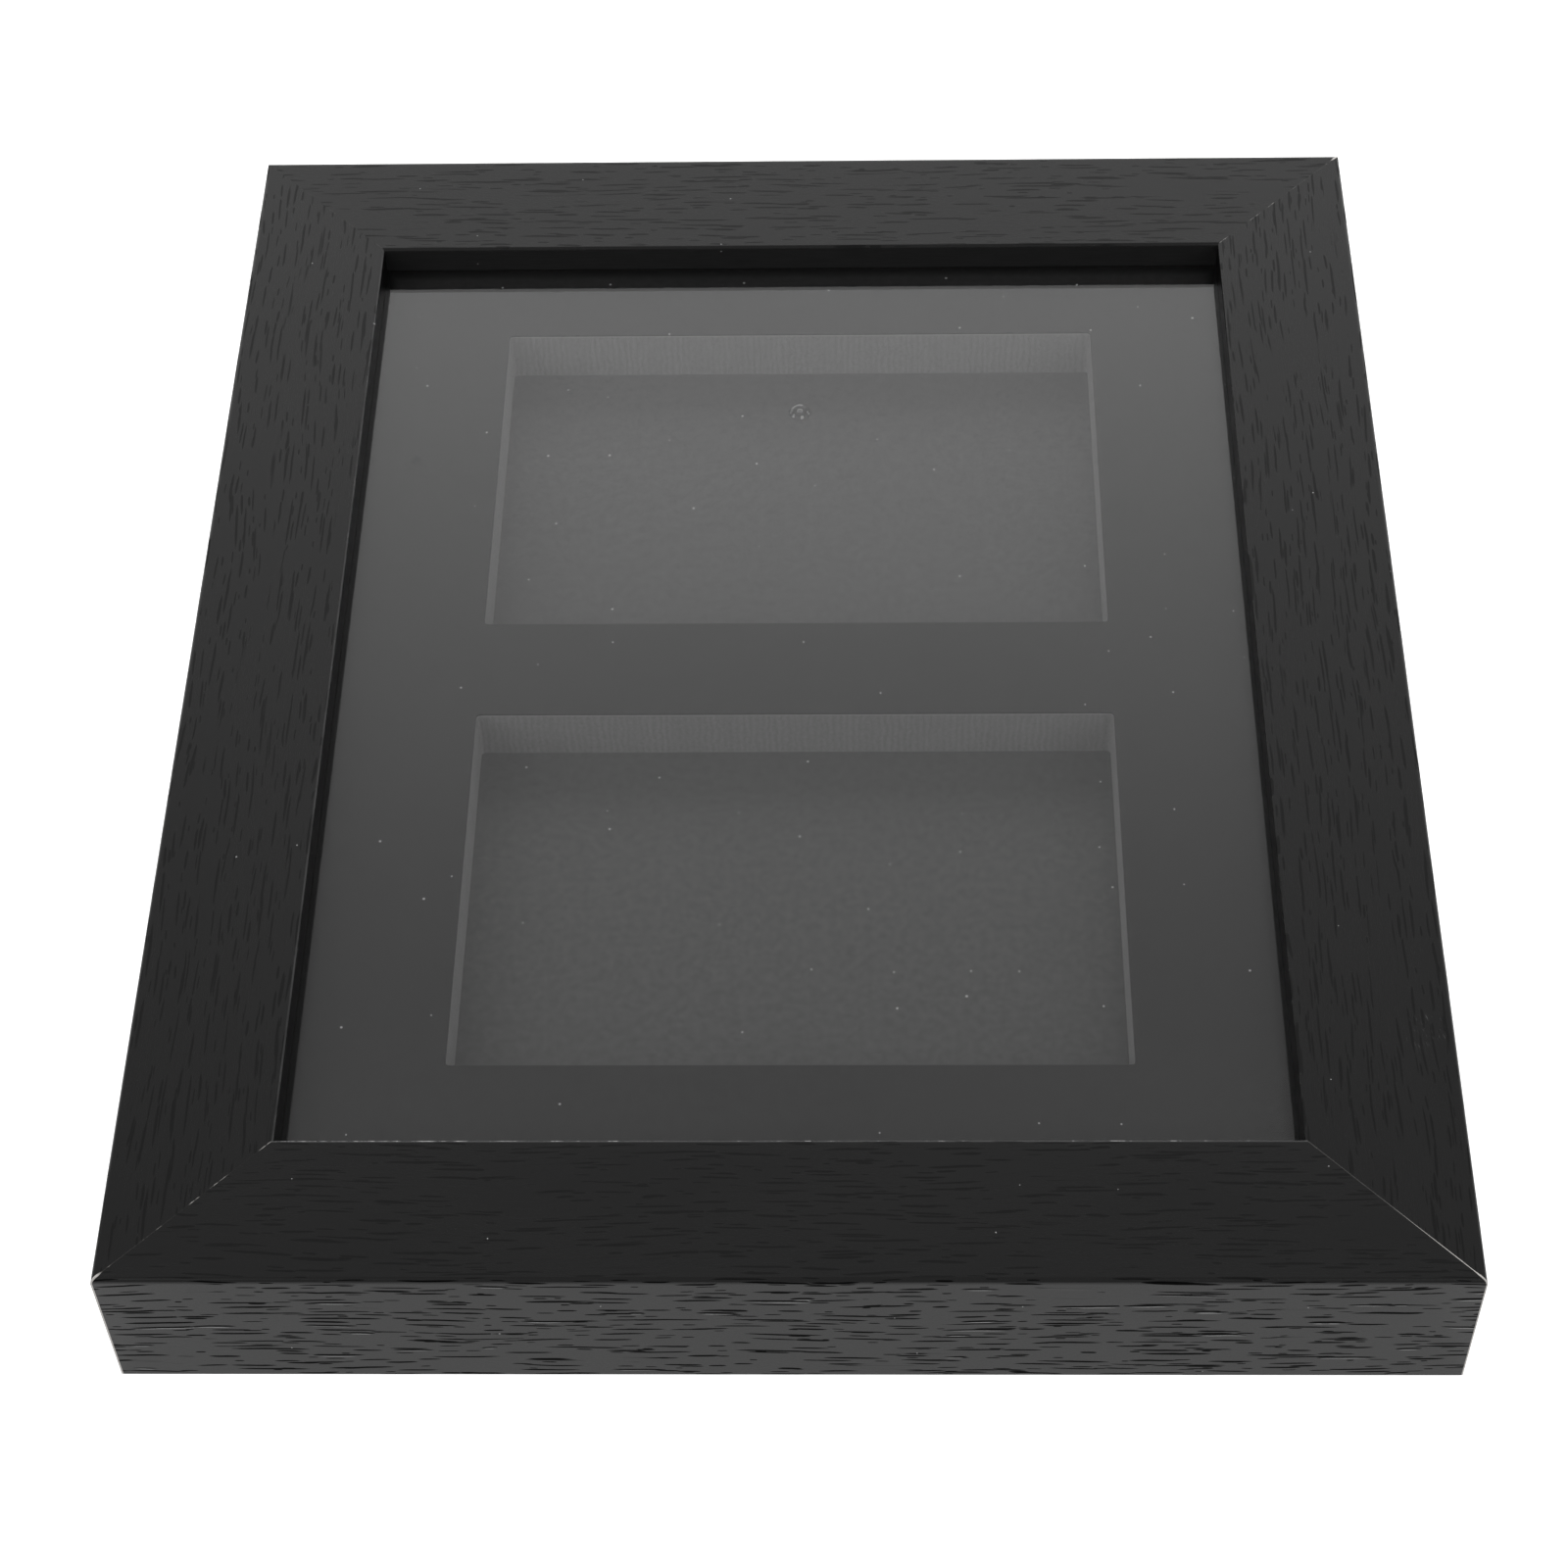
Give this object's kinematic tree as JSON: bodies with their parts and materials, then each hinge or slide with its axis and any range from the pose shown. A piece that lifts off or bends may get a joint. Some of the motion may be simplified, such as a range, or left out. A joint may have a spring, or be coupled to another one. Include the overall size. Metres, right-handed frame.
{
  "type": "shadow box",
  "caption": "Deep mitred shadow box frame with clear glazing over a thick black mat with landscape windows; bendable steel tabs hold the back, which has a ring hanger.",
  "frame": {"origin": "middle of the plane that the backs of the rails rest on", "axes": "+X across the frame to the right as seen from the front, +Y up the frame, +Z out of the face towards the viewer"},
  "size_m": [0.254, 0.3048, 0.035],
  "materials": {
    "frame_moulding": "fibreboard moulding wrapped in satin black wood-grain foil",
    "nail_steel": "plain hardened steel",
    "tab_steel": "bright spring steel",
    "clear_glazing": "clear glossy sheet",
    "mat_paper": "matt black paper",
    "mat_foam": "matt black foam board, knife-cut edges",
    "lining_paper": "matt black paper",
    "hardboard": "bare brown fibreboard",
    "hanger_plating": "bright nickel plate"
  },
  "bodies": {
    "frame": {"rail_bottom": "frame_moulding", "rail_right": "frame_moulding", "rail_top": "frame_moulding", "rail_left": "frame_moulding", "v_nails_bottom_left": "nail_steel", "v_nails_bottom_right": "nail_steel", "v_nails_top_right": "nail_steel", "v_nails_top_left": "nail_steel", "glazing": "clear_glazing", "mat_face_sheet": "mat_paper", "mat_core": "mat_foam", "back_lining": "lining_paper", "back_panel": "hardboard", "tab_shanks_bottom": "tab_steel", "tab_shanks_right": "tab_steel", "tab_shanks_top": "tab_steel", "tab_shanks_left": "tab_steel", "hanger_strap": "hanger_plating", "hanger_rivet": "hanger_plating"},
    "hanger_ring": {"hanger_ring": "hanger_plating"},
    "tab_bottom_left": {"tab_bottom_left": "tab_steel"},
    "tab_bottom_right": {"tab_bottom_right": "tab_steel"},
    "tab_right_lower": {"tab_right_lower": "tab_steel"},
    "tab_right_upper": {"tab_right_upper": "tab_steel"},
    "tab_top_right": {"tab_top_right": "tab_steel"},
    "tab_top_left": {"tab_top_left": "tab_steel"},
    "tab_left_upper": {"tab_left_upper": "tab_steel"},
    "tab_left_lower": {"tab_left_lower": "tab_steel"}
  },
  "joints": [
    {"name": "hanger_ring_swing", "type": "hinge", "parent": "frame", "child": "hanger_ring", "pos_m": [0, 0.1005, 0.00976], "axis": [1, 0, 0], "range_deg": [-88, 88]},
    {"name": "tab_bottom_left_bend", "type": "hinge", "parent": "frame", "child": "tab_bottom_left", "pos_m": [-0.052, -0.1271, 0.0107], "axis": [-1, 0, 0], "range_deg": [0, 85]},
    {"name": "tab_bottom_right_bend", "type": "hinge", "parent": "frame", "child": "tab_bottom_right", "pos_m": [0.052, -0.1271, 0.0107], "axis": [-1, 0, 0], "range_deg": [0, 85]},
    {"name": "tab_right_lower_bend", "type": "hinge", "parent": "frame", "child": "tab_right_lower", "pos_m": [0.1017, -0.068, 0.0107], "axis": [0, -1, 0], "range_deg": [0, 85]},
    {"name": "tab_right_upper_bend", "type": "hinge", "parent": "frame", "child": "tab_right_upper", "pos_m": [0.1017, 0.068, 0.0107], "axis": [0, -1, 0], "range_deg": [0, 85]},
    {"name": "tab_top_right_bend", "type": "hinge", "parent": "frame", "child": "tab_top_right", "pos_m": [0.052, 0.1271, 0.0107], "axis": [1, 0, 0], "range_deg": [0, 85]},
    {"name": "tab_top_left_bend", "type": "hinge", "parent": "frame", "child": "tab_top_left", "pos_m": [-0.052, 0.1271, 0.0107], "axis": [1, 0, 0], "range_deg": [0, 85]},
    {"name": "tab_left_upper_bend", "type": "hinge", "parent": "frame", "child": "tab_left_upper", "pos_m": [-0.1017, 0.068, 0.0107], "axis": [0, 1, 0], "range_deg": [0, 85]},
    {"name": "tab_left_lower_bend", "type": "hinge", "parent": "frame", "child": "tab_left_lower", "pos_m": [-0.1017, -0.068, 0.0107], "axis": [0, 1, 0], "range_deg": [0, 85]}
  ]
}
